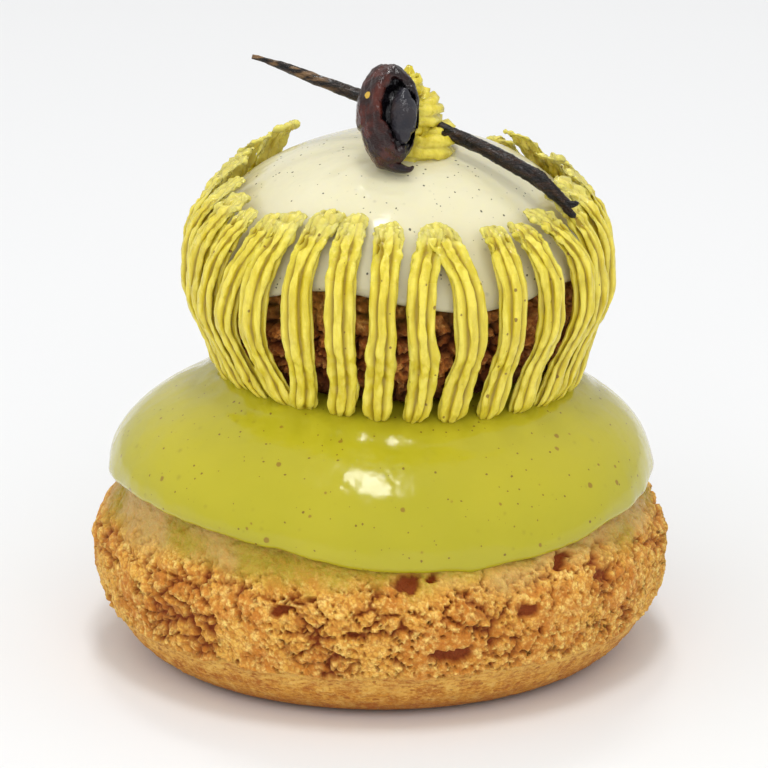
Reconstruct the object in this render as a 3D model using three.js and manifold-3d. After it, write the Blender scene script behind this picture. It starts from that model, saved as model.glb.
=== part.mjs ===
// Religieuse: a small choux bun standing on a large one. Each bun is capped with poured
// fondant, buttercream is piped in upright strips round the small bun, and a rosette, a
// candied fruit and a length of vanilla pod sit on the crown.
// Millimetres, +Z up. The origin is the centre of the large bun's foot; -Y is the front.
// Azimuths are turns round +Z from the front towards +X, in radians.
import * as THREE from 'three';
import { LoftGeometry } from 'three/addons/geometries/LoftGeometry.js';
import { mergeVertices } from 'three/addons/utils/BufferGeometryUtils.js';
import Module from 'manifold-3d';

const { clamp, degToRad } = THREE.MathUtils;
const TURN = 2 * Math.PI;
const UP = new THREE.Vector3(0, 0, 1);
const GAP = 0.35;                    // air left between one piece and the next
const LEVEL_GAP = 0.45;              // the same, measured level across a slope

// Buns: a rounded underside up to the belly, a shoulder, then the dome the fondant covers.
const LARGE = {
  footZ: 0, footRadius: 25.5, bellyZ: 14, bellyRadius: 35,
  capZ: 22.5, capRadius: 31.1, capHeight: 12.8, crustDepth: 0.6, columns: 44,
};
const SMALL = {
  footZ: 35.5, footRadius: 15.5, bellyZ: 45, bellyRadius: 22.2,
  capZ: 50, capRadius: 21.5, capHeight: 13.1, crustDepth: 0.5, columns: 36,
};
const TIER = new THREE.Vector3(2.2, 0.5, 0);     // the small bun's axis, off the large one's
const FOOT_SHARES = [0.4, 0.75, 1];              // rings of the foot, in foot radii
const UNDERSIDE_STEPS = 4;
const SHOULDER_STEPS = 3;
const DOME_STEPS = 4;
const CRUST_START = 0.45;                        // share of the way from foot to belly
const CRUST_RUN_IN = 4;

// Fondant coats: an ellipsoid cap over a bun, ending in a rolled rim that rises and dips.
// Each wave of the rim is [times round, rise, azimuth of a crest in degrees].
const PISTACHIO = {
  bun: LARGE, radius: 33.5, height: 15.2, lip: 0.9, rimZ: 22.2,
  waves: [[1, 0.6, -124], [2, 1.0, -69], [3, 0.65, -45]],
};
const VANILLA = {
  bun: SMALL, radius: 23.4, height: 15, lip: 0.7, rimZ: 49.1,
  waves: [[2, 0.4, -7], [3, 0.5, -15], [4, 0.5, -19], [5, 0.6, -20]],
};
const COAT_ROWS = 8;
const LINING_ROWS = 6;
const RIM_ROLL = [[0.4, 0], [0.8, 0.25]];        // across from the lining, up in lips

// Piped strips: three ridges each, as a star nozzle leaves them.
const STRIP = {
  count: 29, first: degToRad(-4.5), width: 3.3, depth: 2.3,
  footRadius: 20.3, footZ: 34.8, footLift: 0.1,
  bellyRadius: 23.85, bellyZ: 46, topZ: 56.4, backRise: 1.6, tipRise: 0.2,
  flick: 2.2,
};
const STRIP_SIDES = [                // across and out of the strip, in widths and depths
  [-0.3, 0], [-0.5, 0.35], [-0.36, 0.84], [-0.17, 0.7], [0, 1],
  [0.17, 0.7], [0.36, 0.84], [0.5, 0.35], [0.3, 0],
];
const STRIP_STATIONS = [             // share of the height, then width and depth factors
  [0, 0.88, 0.8], [0.12, 1, 0.95], [0.32, 0.98, 0.98], [0.54, 1, 1.02],
  [0.74, 0.98, 0.95], [0.9, 0.84, 0.82], [1, 0.62, 0.6],
];
const STRIP_CORE = 0.45;             // where a strip's ends close, in depths off its back

// Toppings on the crown.
const ROSETTE = {
  x: 2.9, y: -3, lobes: 7, lobeDepth: 0.13, twist: 0.08, columns: 28, tipZ: 72.5,
  rings: [[60.5, 4.6], [64, 5.3], [66.5, 5.5], [68.6, 4.9], [70.4, 3.9], [71.8, 2.4]],
};
const FRUIT = {
  x: 0.9, y: -9.4, z: 68.6, lean: degToRad(30), length: 13, width: 7.4, depth: 6.2,
  rings: 8, columns: 14, plumpness: 0.8,
  hollow: { depth: 1.1, x: 1.85, halfWidth: 1.5, halfLength: 3.4 },
};
const POD = {
  sides: 7, flatness: 0.75,
  stations: [                        // x, y, z along its middle, then half its width
    [-15.5, 4, 72.8, 0.3], [-9, 1.5, 71, 0.6], [-2.7, -1, 69.2, 0.75],
    [2.9, -3.1, 67.5, 0.8], [8.1, -5.2, 65.9, 0.85], [14.8, -8.9, 63, 0.85],
    [20.2, -10.6, 60, 0.8], [23.8, -10.8, 57, 0.4],
  ],
};

const choux = { color: 0xc3944a, roughness: 0.8 };
const pistachioIcing = { color: 0xc6bd42, roughness: 0.2 };
const vanillaIcing = { color: 0xede7c3, roughness: 0.2 };
const buttercream = { color: 0xd0bc48, roughness: 0.4 };
const syrupedFruit = { color: 0x46312a, roughness: 0.2 };
const driedPod = { color: 0x2c2018, roughness: 0.5 };

const mix = (a, b, t) => a + (b - a) * t;
const ease = (t) => t * t * (3 - 2 * t);
const quarter = (share) => Math.sqrt(Math.max(0, 1 - share * share));

// Evenly spaced values after from, the last one being to.
const steps = (count, from = 0, to = 1) =>
  Array.from({ length: count }, (_, i) => mix(from, to, (i + 1) / count));

// A point at a radius and azimuth from the vertical axis.
const spot = (radius, azimuth, z = 0) =>
  new THREE.Vector3(radius * Math.sin(azimuth), -radius * Math.cos(azimuth), z);

// One ring of points round the axis; radiusAt and zAt are functions of azimuth.
const ringRound = (columns, radiusAt, zAt) =>
  Array.from({ length: columns }, (_, i) => {
    const azimuth = (TURN * i) / columns;
    return spot(radiusAt(azimuth), azimuth, zAt(azimuth));
  });

// Merges a geometry's shared corners, so that it is one closed surface.
const weld = (geometry) => mergeVertices(new THREE.BufferGeometry()
  .setAttribute('position', geometry.getAttribute('position'))
  .setIndex(geometry.getIndex()));

// A closed surface over rings of equal length, drawn in to a point at each end.
function skin(first, rings, last) {
  const pointRing = (point) => rings[0].map(() => point);
  return weld(new LoftGeometry([pointRing(first), ...rings, pointRing(last)]));
}

// Radius of a bun at a height, from its foot to the top of its dome.
function bunRadius(bun, z) {
  if (z <= bun.bellyZ) {
    const down = (bun.bellyZ - z) / (bun.bellyZ - bun.footZ);
    return mix(bun.footRadius, bun.bellyRadius, quarter(down));
  }
  const up = (z - bun.bellyZ) / (bun.capZ - bun.bellyZ);
  return mix(bun.bellyRadius, bun.capRadius, ease(Math.min(up, 1)));
}

// Coarse hollows of the crackled crust, pressed inwards between the foot and the shoulder.
function crackle(bun, azimuth, z) {
  if (z >= bun.capZ) return 0;
  const start = mix(bun.footZ, bun.bellyZ, CRUST_START);
  const crusted = ease(clamp((z - start) / CRUST_RUN_IN, 0, 1));
  const lumps = 0.5 + 0.5 * Math.sin(9 * azimuth + 1.3 * z) * Math.cos(5 * azimuth - 0.9 * z);
  return bun.crustDepth * crusted * lumps;
}

// A bun whose foot lies on a surface: seat gives the height of that surface at a point.
function bunSolid(bun, seat) {
  const rings = FOOT_SHARES.map((share) => {
    const radius = share * bun.footRadius;
    return ringRound(bun.columns, () => radius, (a) => seat(spot(radius, a)));
  });
  const sideHeights = [
    ...steps(UNDERSIDE_STEPS, 0, TURN / 4).map((angle) =>
      mix(bun.bellyZ, bun.footZ, Math.cos(angle))),
    ...steps(SHOULDER_STEPS, bun.bellyZ, bun.capZ),
  ];
  for (const z of sideHeights) {
    // Below the belly the wall follows the edge of the foot up and down.
    const low = clamp((bun.bellyZ - z) / (bun.bellyZ - bun.footZ), 0, 1);
    rings.push(ringRound(bun.columns,
      (a) => bunRadius(bun, z) - crackle(bun, a, z),
      (a) => z + low * (seat(spot(bun.footRadius, a)) - bun.footZ)));
  }
  for (const angle of steps(DOME_STEPS, 0, TURN / 4).slice(0, -1)) {
    rings.push(ringRound(bun.columns, () => bun.capRadius * Math.cos(angle),
      () => bun.capZ + bun.capHeight * Math.sin(angle)));
  }
  return skin(spot(0, 0, seat(spot(0, 0))), rings, spot(0, 0, bun.capZ + bun.capHeight));
}

// Height of a coat's rim at an azimuth.
const rimHeight = (coat, azimuth) => coat.waves.reduce((z, [times, rise, crest]) =>
  z + rise * Math.cos(times * (azimuth - degToRad(crest))), coat.rimZ);

// A coat of fondant: down its lining, round the rolled rim and up the outside.
function coatSolid(coat) {
  const { bun } = coat;
  const liningHeight = bun.capHeight + GAP;
  const edgeAngle = (azimuth, height) =>
    Math.asin((rimHeight(coat, azimuth) + coat.lip - bun.capZ) / height);
  const liningRadius = (z) => bunRadius(bun, z) + LEVEL_GAP;
  const rings = [];
  for (const t of steps(LINING_ROWS)) {
    const angle = (a) => mix(TURN / 4, edgeAngle(a, liningHeight), t);
    const z = (a) => bun.capZ + liningHeight * Math.sin(angle(a));
    rings.push(ringRound(bun.columns,
      (a) => liningRadius(z(a)) * Math.cos(Math.max(0, angle(a))), z));
  }
  for (const [across, up] of RIM_ROLL) {
    rings.push(ringRound(bun.columns,
      (a) => mix(liningRadius(rimHeight(coat, a)), coat.radius, across),
      (a) => rimHeight(coat, a) + up * coat.lip));
  }
  for (const t of [0, ...steps(COAT_ROWS)].slice(0, -1)) {
    const angle = (a) => mix(edgeAngle(a, coat.height), TURN / 4, t);
    rings.push(ringRound(bun.columns, (a) => coat.radius * Math.cos(angle(a)),
      (a) => bun.capZ + coat.height * Math.sin(angle(a))));
  }
  return skin(spot(0, 0, bun.capZ + liningHeight), rings,
    spot(0, 0, bun.capZ + coat.height));
}

// Height of a coat's top at a point measured from its axis, with the gap left above it.
const onCoat = (coat, point) => coat.bun.capZ + GAP
  + coat.height * quarter(Math.hypot(point.x, point.y) / coat.radius);

// The same on the pistachio fondant, for a point measured from the small bun's axis.
const underTier = (point) => onCoat(PISTACHIO, point.clone().add(TIER));

// Distance of a strip's back face from the small bun's axis.
function stripRadius(z) {
  if (z < STRIP.bellyZ) {
    const up = clamp((z - STRIP.footZ) / (STRIP.bellyZ - STRIP.footZ), 0, 1);
    return mix(STRIP.footRadius, STRIP.bellyRadius, ease(up));
  }
  const up = Math.max(0, z - SMALL.capZ) / (VANILLA.height + GAP);
  return STRIP.bellyRadius * quarter(up);
}

// One strip at the front, from the pistachio fondant up on to the vanilla fondant. It is
// turned to its azimuth afterwards, and sway varies it from its neighbours.
function stripSolid(azimuth, sway) {
  // Sets a point down on the pistachio fondant.
  const seated = (point) => point.setZ(
    underTier(point.clone().applyAxisAngle(UP, azimuth)) + STRIP.footLift * (2 + sway(2.7)));
  const footZ = seated(spot(STRIP.footRadius, 0)).z;
  const back = 0.5 - 0.5 * Math.cos(azimuth);
  const topZ = STRIP.topZ + STRIP.backRise * back + 0.6 * sway(1.9);
  const lean = degToRad(1.6 * sway(3.1));
  const station = (t) => {
    const z = mix(footZ, topZ, t);
    const slope = stripRadius(z + 0.5) - stripRadius(z - 0.5);
    const side = lean * t * t;
    return {
      middle: spot(stripRadius(z), side, z),
      out: spot(1, side, -slope).normalize(),
      across: spot(1, side + TURN / 4),
    };
  };
  const rings = STRIP_STATIONS.map(([t, widthShare, depthShare]) => {
    const { middle, out, across } = station(t);
    return STRIP_SIDES.map(([u, v]) => middle.clone()
      .addScaledVector(across, u * STRIP.width * widthShare)
      .addScaledVector(out, v * STRIP.depth * depthShare));
  });
  rings[0].forEach(seated);
  const [heel, tip] = [station(0), station(1)].map(({ middle, out }) =>
    middle.addScaledVector(out, STRIP_CORE * STRIP.depth));
  tip.z += STRIP.tipRise + STRIP.flick * back * (0.5 + 0.5 * sway(4.3));
  return skin(seated(heel), rings, tip);
}

// The rosette before it is cut: lobes that twist as they rise.
function rosetteSolid() {
  const rings = ROSETTE.rings.map(([z, radius], row) => ringRound(ROSETTE.columns,
    (a) => radius * (1 + ROSETTE.lobeDepth * Math.cos(ROSETTE.lobes * (a + ROSETTE.twist * row))),
    () => z));
  return skin(spot(0, 0, ROSETTE.rings[0][0]), rings, spot(0, 0, ROSETTE.tipZ));
}

// The stoned oval fruit, upright, hollow on its front right side. grow swells it all round.
function fruitSolid(grow = 0) {
  const { hollow } = FRUIT;
  const tip = FRUIT.length / 2 + grow;
  const rings = steps(FRUIT.rings + 1, -TURN / 4, TURN / 4).slice(0, -1).map((angle) => {
    const girth = Math.cos(angle) ** FRUIT.plumpness;
    const z = tip * Math.sin(angle);
    return ringRound(FRUIT.columns, () => girth, () => z).map((p) => {
      const x = p.x * (FRUIT.width / 2 + grow);
      const facing = Math.max(0, -p.y);
      const dent = hollow.depth * facing
        * Math.exp(-(((x - hollow.x) / hollow.halfWidth) ** 2) - (z / hollow.halfLength) ** 2);
      return new THREE.Vector3(x, p.y * (FRUIT.depth / 2 + grow) + dent, z);
    });
  });
  return skin(spot(0, 0, -tip), rings, spot(0, 0, tip));
}

// The vanilla pod, flattened and thinning to both ends. grow swells it all round.
function podSolid(grow = 0) {
  const path = POD.stations.map(([x, y, z]) => new THREE.Vector3(x, y, z));
  const rings = path.map((point, i) => {
    const next = path[Math.min(i + 1, path.length - 1)];
    const ahead = next.clone().sub(path[Math.max(i - 1, 0)]).normalize();
    const across = UP.clone().cross(ahead).normalize();
    const rise = ahead.clone().cross(across);
    const half = POD.stations[i][3];
    return Array.from({ length: POD.sides }, (_, k) => {
      const turn = (TURN * k) / POD.sides;
      return point.clone()
        .addScaledVector(across, (half + grow) * Math.cos(turn))
        .addScaledVector(rise, (half * POD.flatness + grow) * Math.sin(turn));
    });
  });
  return skin(path[0], rings, path[path.length - 1]);
}

function piece(name, geometry, look) {
  const mesh = new THREE.Mesh(geometry, new THREE.MeshStandardMaterial(look));
  mesh.name = name;
  return mesh;
}

const wasm = await Module();
wasm.setup();

// A placed mesh as a solid in the pastry's own frame.
function toSolid(mesh) {
  mesh.updateWorldMatrix(true, false);
  const geometry = mesh.geometry.clone().applyMatrix4(mesh.matrixWorld);
  return new wasm.Manifold(new wasm.Mesh({
    numProp: 3,
    vertProperties: geometry.getAttribute('position').array,
    triVerts: new Uint32Array(geometry.getIndex().array),
  }));
}

// Cuts the tools out of a placed mesh and keeps its largest part.
function trim(mesh, tools) {
  const left = tools.reduce((solid, tool) => solid.subtract(toSolid(tool)), toSolid(mesh));
  const { vertProperties, triVerts } = left.decompose()
    .sort((a, b) => b.volume() - a.volume())[0].getMesh();
  mesh.geometry = new THREE.BufferGeometry()
    .setAttribute('position', new THREE.BufferAttribute(vertProperties, 3))
    .setIndex(new THREE.BufferAttribute(triVerts, 1))
    .applyMatrix4(mesh.matrixWorld.clone().invert());
}

const religieuse = new THREE.Group();
religieuse.name = 'religieuse';
religieuse.add(piece('lower_bun', bunSolid(LARGE, () => LARGE.footZ), choux));
religieuse.add(piece('pistachio_fondant', coatSolid(PISTACHIO), pistachioIcing));

const tier = new THREE.Group();
tier.position.copy(TIER);
religieuse.add(tier);
tier.add(piece('upper_bun', bunSolid(SMALL, underTier), choux));
tier.add(piece('vanilla_fondant', coatSolid(VANILLA), vanillaIcing));
for (let i = 0; i < STRIP.count; i += 1) {
  const azimuth = STRIP.first + (TURN * i) / STRIP.count;
  const sway = (rate) => Math.sin(rate * (i + 1));
  const strip = piece(`piped_strip_${String(i + 1).padStart(2, '0')}`,
    stripSolid(azimuth, sway), buttercream);
  strip.rotation.z = azimuth;
  tier.add(strip);
}

const pod = piece('vanilla_pod', podSolid(), driedPod);
const fruit = piece('candied_fruit', fruitSolid(), syrupedFruit);
fruit.position.set(FRUIT.x, FRUIT.y, FRUIT.z);
fruit.rotation.x = -FRUIT.lean;
const rosette = piece('pistachio_rosette', rosetteSolid(), buttercream);
rosette.position.set(ROSETTE.x, ROSETTE.y, 0);
religieuse.add(pod, fruit, rosette);

// The fruit and the rosette are seated on the vanilla fondant, and the rosette closes
// round the fruit and the pod.
const crown = piece('crown', weld(new THREE.SphereGeometry(1, 64, 32)), vanillaIcing);
crown.scale.set(VANILLA.radius + GAP, VANILLA.radius + GAP, VANILLA.height + GAP);
crown.position.set(TIER.x, TIER.y, SMALL.capZ);
const fruitRoom = piece('fruit_room', fruitSolid(GAP), syrupedFruit);
fruitRoom.position.copy(fruit.position);
fruitRoom.rotation.copy(fruit.rotation);
const podRoom = piece('pod_room', podSolid(GAP), driedPod);
trim(fruit, [crown]);
trim(rosette, [crown, fruitRoom, podRoom]);

export default religieuse;
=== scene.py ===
# %% [markdown]
# # A religieuse, looked at as a pastry cook would
#
# The real thing is two round choux buns, a small one on a large one. Each wears a coat of
# poured fondant, buttercream is piped in upright strips round the small bun, and a rosette,
# half a candied fruit and a length of vanilla pod stand on the crown. The measured frame
# gives every size and place. Here each piece gets its real surface: the craggy crust, the
# glossy icing, the ridges that a star nozzle leaves.

# %% Load the frame
import math
import random

import bmesh
import bpy
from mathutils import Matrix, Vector


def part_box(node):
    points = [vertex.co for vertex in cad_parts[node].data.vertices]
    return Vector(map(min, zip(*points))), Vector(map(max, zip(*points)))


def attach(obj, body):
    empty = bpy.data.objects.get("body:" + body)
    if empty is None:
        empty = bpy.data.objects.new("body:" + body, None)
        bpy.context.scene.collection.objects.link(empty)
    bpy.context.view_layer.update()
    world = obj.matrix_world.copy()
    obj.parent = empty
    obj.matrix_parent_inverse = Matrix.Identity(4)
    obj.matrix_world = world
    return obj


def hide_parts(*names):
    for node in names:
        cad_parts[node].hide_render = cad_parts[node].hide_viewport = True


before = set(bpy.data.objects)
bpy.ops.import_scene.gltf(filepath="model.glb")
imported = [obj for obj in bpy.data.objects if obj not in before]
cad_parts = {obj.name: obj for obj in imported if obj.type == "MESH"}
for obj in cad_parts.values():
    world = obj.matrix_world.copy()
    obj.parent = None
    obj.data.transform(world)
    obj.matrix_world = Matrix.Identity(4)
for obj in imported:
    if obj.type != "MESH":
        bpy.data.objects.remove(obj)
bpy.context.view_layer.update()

MM = 0.001
TURN = 2 * math.pi


def solid_box(node):
    """Lowest and highest corner of one of the frame's solids, in mm."""
    return [[v / MM for v in corner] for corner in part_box(node)]


def solid_middle(node):
    low, high = solid_box(node)
    return [(a + b) / 2 for a, b in zip(low, high)]


def solid_radius(node):
    low, high = solid_box(node)
    return (high[0] - low[0]) / 2


print("large bun's radius in mm:", round(solid_radius("lower_bun"), 2))

# %% [markdown]
# ## Choosing what an operator works on
#
# Nearly everything below is made with the operators behind Blender's own menus, and an
# operator works on whatever is selected. Loading the frame leaves its nodes selected, so a
# few helpers first clear the selection and then pick one piece, or the corners of one
# piece that answer a question, such as "is this corner low?".

# %% Helpers for picking and for edit mode
scene = bpy.context.scene


def pick_none():
    if bpy.context.object and bpy.context.object.mode != "OBJECT":
        bpy.ops.object.mode_set(mode="OBJECT")
    bpy.ops.object.select_all(action="DESELECT")


def pick(piece):
    """Makes piece the only thing that operators work on."""
    pick_none()
    piece.select_set(True)
    bpy.context.view_layer.objects.active = piece
    return piece


def begin_edit():
    bpy.ops.object.mode_set(mode="EDIT")


def end_edit():
    bpy.ops.object.mode_set(mode="OBJECT")


def choose(piece, want):
    """In edit mode, selects only the corners for which want(corner) is true."""
    bpy.ops.mesh.select_mode(type="VERT")
    bpy.ops.mesh.select_all(action="DESELECT")
    end_edit()
    for corner in piece.data.vertices:
        corner.select = bool(want(corner))
    begin_edit()


def apply_all(piece):
    """Turns every modifier on piece into real mesh."""
    pick(piece)
    for modifier in list(piece.modifiers):
        bpy.ops.object.modifier_apply(modifier=modifier.name)
    return piece


def count(piece):
    return sum(len(face.vertices) - 2 for face in piece.data.polygons)


def volume(piece):
    """Volume in cubic mm; it comes out below nought when the faces look inwards."""
    mesh = bmesh.new()
    mesh.from_mesh(piece.data)
    cubic = mesh.calc_volume(signed=True) / MM ** 3
    mesh.free()
    return cubic


print("helpers ready")

# %% [markdown]
# ## The studio
#
# A pale table top, even light from all round, two soft panels overhead and three broad
# ones lower down. The icing is glossy, so the overhead panels are also what draws its
# highlights: one hangs in front of the pastry and one behind it. The low ones only fill
# the shadows, and are kept out of reflections. The view transform is set to Standard,
# which shows a colour as it was mixed; the default one would grey the icing.

# %% Table, light and camera
scene.view_settings.view_transform = "Standard"
scene.view_settings.look = "None"

SKY = 0.635
world = bpy.data.worlds.new("even_light")
scene.world = world
world.use_nodes = True
world.node_tree.nodes["Background"].inputs["Color"].default_value = (1.0, 1.0, 1.0, 1)
world.node_tree.nodes["Background"].inputs["Strength"].default_value = SKY


def panel(name, azimuth, elevation, distance, size, power, aim=(0, 0, 0.045)):
    """A soft light panel; azimuth 0 is in front, and grows towards +X."""
    a, e = math.radians(azimuth), math.radians(elevation)
    away = Vector((math.sin(a) * math.cos(e), -math.cos(a) * math.cos(e), math.sin(e)))
    bpy.ops.object.light_add(type="AREA", location=Vector(aim) + away * distance)
    light = bpy.context.object
    light.name = name
    light.rotation_euler = away.to_track_quat("Z", "Y").to_euler()
    light.data.shape = "RECTANGLE"
    light.data.size, light.data.size_y = size
    light.data.energy = power
    return light


panel("panel_front", 7, 79, 0.95, (0.17, 0.3), 2.3)
panel("panel_behind", 184, 64, 0.95, (0.14, 0.08), 1.1)
FILLS = (("panel_low", 0, 7.6), ("panel_left", -75, 3.1), ("panel_right", 75, 1.6))
for name, azimuth, power in FILLS:
    fill = panel(name, azimuth, 33, 1.4, (1.5, 1.0), power)
    fill.visible_glossy = False      # it fills the shadows and draws no highlight

CAMERA_AT = Vector((0.00043, -0.551, 0.20068))
AIM = Vector((0.00043, 0, 0.03253))
bpy.ops.object.camera_add(location=CAMERA_AT)
camera = bpy.context.object
camera.data.lens = 219.75
camera.data.sensor_width = 36
camera.data.clip_start = 0.01
camera.rotation_euler = (AIM - CAMERA_AT).to_track_quat("-Z", "Y").to_euler()
scene.camera = camera

bpy.ops.mesh.primitive_plane_add(size=6, location=(0, 0, -0.0001))
table = bpy.context.object
table.name = "table_top"
fall = math.atan2(CAMERA_AT.z - AIM.z, AIM.y - CAMERA_AT.y)
print("camera looks down by", round(math.degrees(fall), 1), "degrees")

# %% [markdown]
# ## Writing a pattern as a formula
#
# A material and a Geometry Nodes modifier are both trees of nodes, and both have the same
# noise, cell and arithmetic nodes. The helper below adds nodes to either kind of tree and
# joins them up, so that a pattern reads like a formula. Lengths inside the patterns are in
# millimetres, since crumbs and specks are easiest to think of that way.

# %% A helper that wires nodes
class Wires:
    def __init__(self, tree):
        self.tree = tree

    def put(self, kind, ins=None, **settings):
        """Adds one node; ins are its inputs by name or number, each a socket or a value."""
        node = self.tree.nodes.new(kind)
        for key, value in settings.items():
            setattr(node, key, value)
        for key, value in (ins or {}).items():
            self.give(node.inputs[key], value)
        return node

    def give(self, socket, value):
        if isinstance(value, bpy.types.NodeSocket):
            self.tree.links.new(value, socket)
        else:
            socket.default_value = value

    def math(self, operation, a, b=None, c=None, clamp=False):
        node = self.put("ShaderNodeMath", operation=operation, use_clamp=clamp)
        for socket, value in zip(node.inputs, (a, b, c)):
            if value is not None:
                self.give(socket, value)
        return node.outputs[0]

    def add(self, a, b):
        return self.math("ADD", a, b)

    def take(self, a, b):
        return self.math("SUBTRACT", a, b)

    def times(self, a, b):
        return self.math("MULTIPLY", a, b)

    def rest(self, a, clamp=False):
        """What is left of one when a is taken away."""
        return self.math("SUBTRACT", 1.0, a, clamp=clamp)

    def diagonal(self, a, b):
        return self.math("SQRT", self.add(self.times(a, a), self.times(b, b)))

    def sum(self, *terms):
        total = terms[0]
        for term in terms[1:]:
            total = self.add(total, term)
        return total

    def vector(self, operation, a, b=None):
        node = self.put("ShaderNodeVectorMath", operation=operation)
        for socket, value in zip(node.inputs, (a, b)):
            if value is not None:
                self.give(socket, value)
        return node.outputs[0]

    def scaled(self, a, factor):
        node = self.put("ShaderNodeVectorMath", operation="SCALE")
        self.give(node.inputs[0], a)
        self.give(node.inputs["Scale"], factor)
        return node.outputs[0]

    def squash(self, a, by):
        """Stretches or squashes a place before a pattern is looked up there."""
        return self.vector("MULTIPLY", a, by)

    def length(self, a):
        node = self.put("ShaderNodeVectorMath", {0: a}, operation="LENGTH")
        return node.outputs["Value"]

    def split(self, a):
        return self.put("ShaderNodeSeparateXYZ", {0: a}).outputs

    def join(self, x, y, z):
        return self.put("ShaderNodeCombineXYZ", {0: x, 1: y, 2: z}).outputs[0]

    def noise(self, at, scale, detail=2.0, rough=0.5, warp=0.0, out="Fac"):
        node = self.put("ShaderNodeTexNoise", {"Vector": at, "Scale": scale, "Detail": detail,
                                               "Roughness": rough, "Distortion": warp})
        return node.outputs[out] if out in node.outputs else node.outputs[0]

    def swing(self, at, scale, detail, rough):
        """The same noise, centred on nought."""
        return self.take(self.noise(at, scale, detail, rough), 0.5)

    def push(self, at, scale, detail, reach):
        """A step in a random direction, at most about half of reach long."""
        colour = self.noise(at, scale, detail, 0.6, out="Color")
        return self.scaled(self.vector("SUBTRACT", colour, (0.5, 0.5, 0.5)), reach)

    def cells(self, at, scale, feature="F1"):
        """Distance to the nearest cell's middle, or to its edge."""
        node = self.put("ShaderNodeTexVoronoi", {"Vector": at, "Scale": scale}, feature=feature)
        if feature == "SMOOTH_F1":
            node.inputs["Smoothness"].default_value = 0.3
        return node.outputs["Distance"]

    def surface(self):
        """In a shape tree: where each corner is, in mm, and which way it faces."""
        place = self.put("GeometryNodeInputPosition").outputs[0]
        return self.scaled(place, 1 / MM), self.put("GeometryNodeInputNormal").outputs[0]

    def ramp(self, value, low, high, to_low=0.0, to_high=1.0, kind="SMOOTHSTEP"):
        """Carries value from low..high to to_low..to_high, and holds it there outside."""
        node = self.put("ShaderNodeMapRange", interpolation_type=kind)
        for key, number in (("Value", value), ("From Min", low), ("From Max", high),
                            ("To Min", to_low), ("To Max", to_high)):
            self.give(node.inputs[key], number)
        return node.outputs["Result"]

    def blend(self, share, a, b, mode="MIX"):
        """Mixes two colours."""
        node = self.put("ShaderNodeMix", data_type="RGBA", blend_type=mode)
        for key, value in ((0, share), (6, a), (7, b)):
            self.give(node.inputs[key], value)
        return node.outputs[2]


def colour(red, green, blue):
    """A colour given as 0 to 255, as a paint program shows it."""
    def straight(v):
        v /= 255
        return v / 12.92 if v <= 0.04045 else ((v + 0.055) / 1.055) ** 2.4
    return (straight(red), straight(green), straight(blue), 1.0)


def shape_tree(name, inputs=()):
    """A new Geometry Nodes tree; returns it with its wires and its input node."""
    tree = bpy.data.node_groups.new(name, "GeometryNodeTree")
    tree.interface.new_socket("Geometry", in_out="INPUT", socket_type="NodeSocketGeometry")
    for label in inputs:
        tree.interface.new_socket(label, in_out="INPUT", socket_type="NodeSocketFloat")
    tree.interface.new_socket("Geometry", in_out="OUTPUT", socket_type="NodeSocketGeometry")
    w = Wires(tree)
    return tree, w, tree.nodes.new("NodeGroupInput").outputs


def shape_end(w, geometry):
    """Joins the finished geometry to the tree's output."""
    w.put("NodeGroupOutput", {0: geometry})


def move(w, geometry, offset):
    return w.put("GeometryNodeSetPosition", {"Geometry": geometry, "Offset": offset}).outputs[0]


def keep_value(w, geometry, name, value):
    """Stores a number on every corner, for the material to read."""
    node = w.put("GeometryNodeStoreNamedAttribute", data_type="FLOAT", domain="POINT")
    w.give(node.inputs["Geometry"], geometry)
    w.give(node.inputs["Name"], name)
    w.give(node.inputs["Value"], value)
    return node.outputs[0]


def use_tree(piece, tree, **values):
    """Runs a Geometry Nodes tree over piece and applies it."""
    modifier = piece.modifiers.new(tree.name, "NODES")
    modifier.node_group = tree
    for item in tree.interface.items_tree:
        if item.in_out == "INPUT" and item.name in values:
            modifier[item.identifier] = values[item.name]
    return apply_all(piece)


print("wires ready")

# %% [markdown]
# ## Turning a profile
#
# Buns and icing are round, so each starts as a line: one corner is pushed out along half
# the outline, and Spin carries that line round the upright axis, as a potter's wheel
# would. The line could also be a curve with a Screw modifier, but Spin leaves plain quads
# in even rows, which take the crust's fine relief well.

# %% Spin helper
def spun(name, outline, columns, axis=(0.0, 0.0)):
    """outline is a list of (radius, z) in mm, from the bottom or the lining to the top."""
    pick_none()
    r, z = outline[0]
    start = (axis[0] * MM + r * MM, axis[1] * MM, z * MM)
    bpy.ops.mesh.primitive_plane_add(size=MM, location=start)
    piece = bpy.context.object
    piece.name = piece.data.name = name
    bpy.ops.object.transform_apply(location=True, rotation=False, scale=False)
    begin_edit()
    bpy.ops.mesh.select_mode(type="VERT")
    bpy.ops.mesh.merge(type="CENTER")
    for r1, z1 in outline[1:]:
        bpy.ops.mesh.extrude_region_move(
            TRANSFORM_OT_translate={"value": ((r1 - r) * MM, 0, (z1 - z) * MM)})
        r, z = r1, z1
    bpy.ops.mesh.select_all(action="SELECT")
    bpy.ops.mesh.spin(steps=columns, angle=TURN, center=(axis[0] * MM, axis[1] * MM, 0),
                      axis=(0, 0, 1))
    bpy.ops.mesh.select_all(action="SELECT")
    bpy.ops.mesh.remove_doubles(threshold=0.002 * MM)
    bpy.ops.mesh.normals_make_consistent(inside=False)
    end_edit()
    bpy.ops.object.shade_smooth()
    return piece


print("spin ready")

# %% [markdown]
# ## The buns' outline
#
# A choux bun puffs over its foot: a rounded underside up to the belly, a shoulder, then a
# dome. The crusty band between the foot and the icing is what shows, so most of the rows
# go there, about three to a millimetre, and the dome under the icing gets only a few.

# %% Outlines of the two buns
large_foot = solid_box("lower_bun")[0][2]
small_foot = solid_box("upper_bun")[0][2] - 0.24      # sunk a little into the icing
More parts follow.
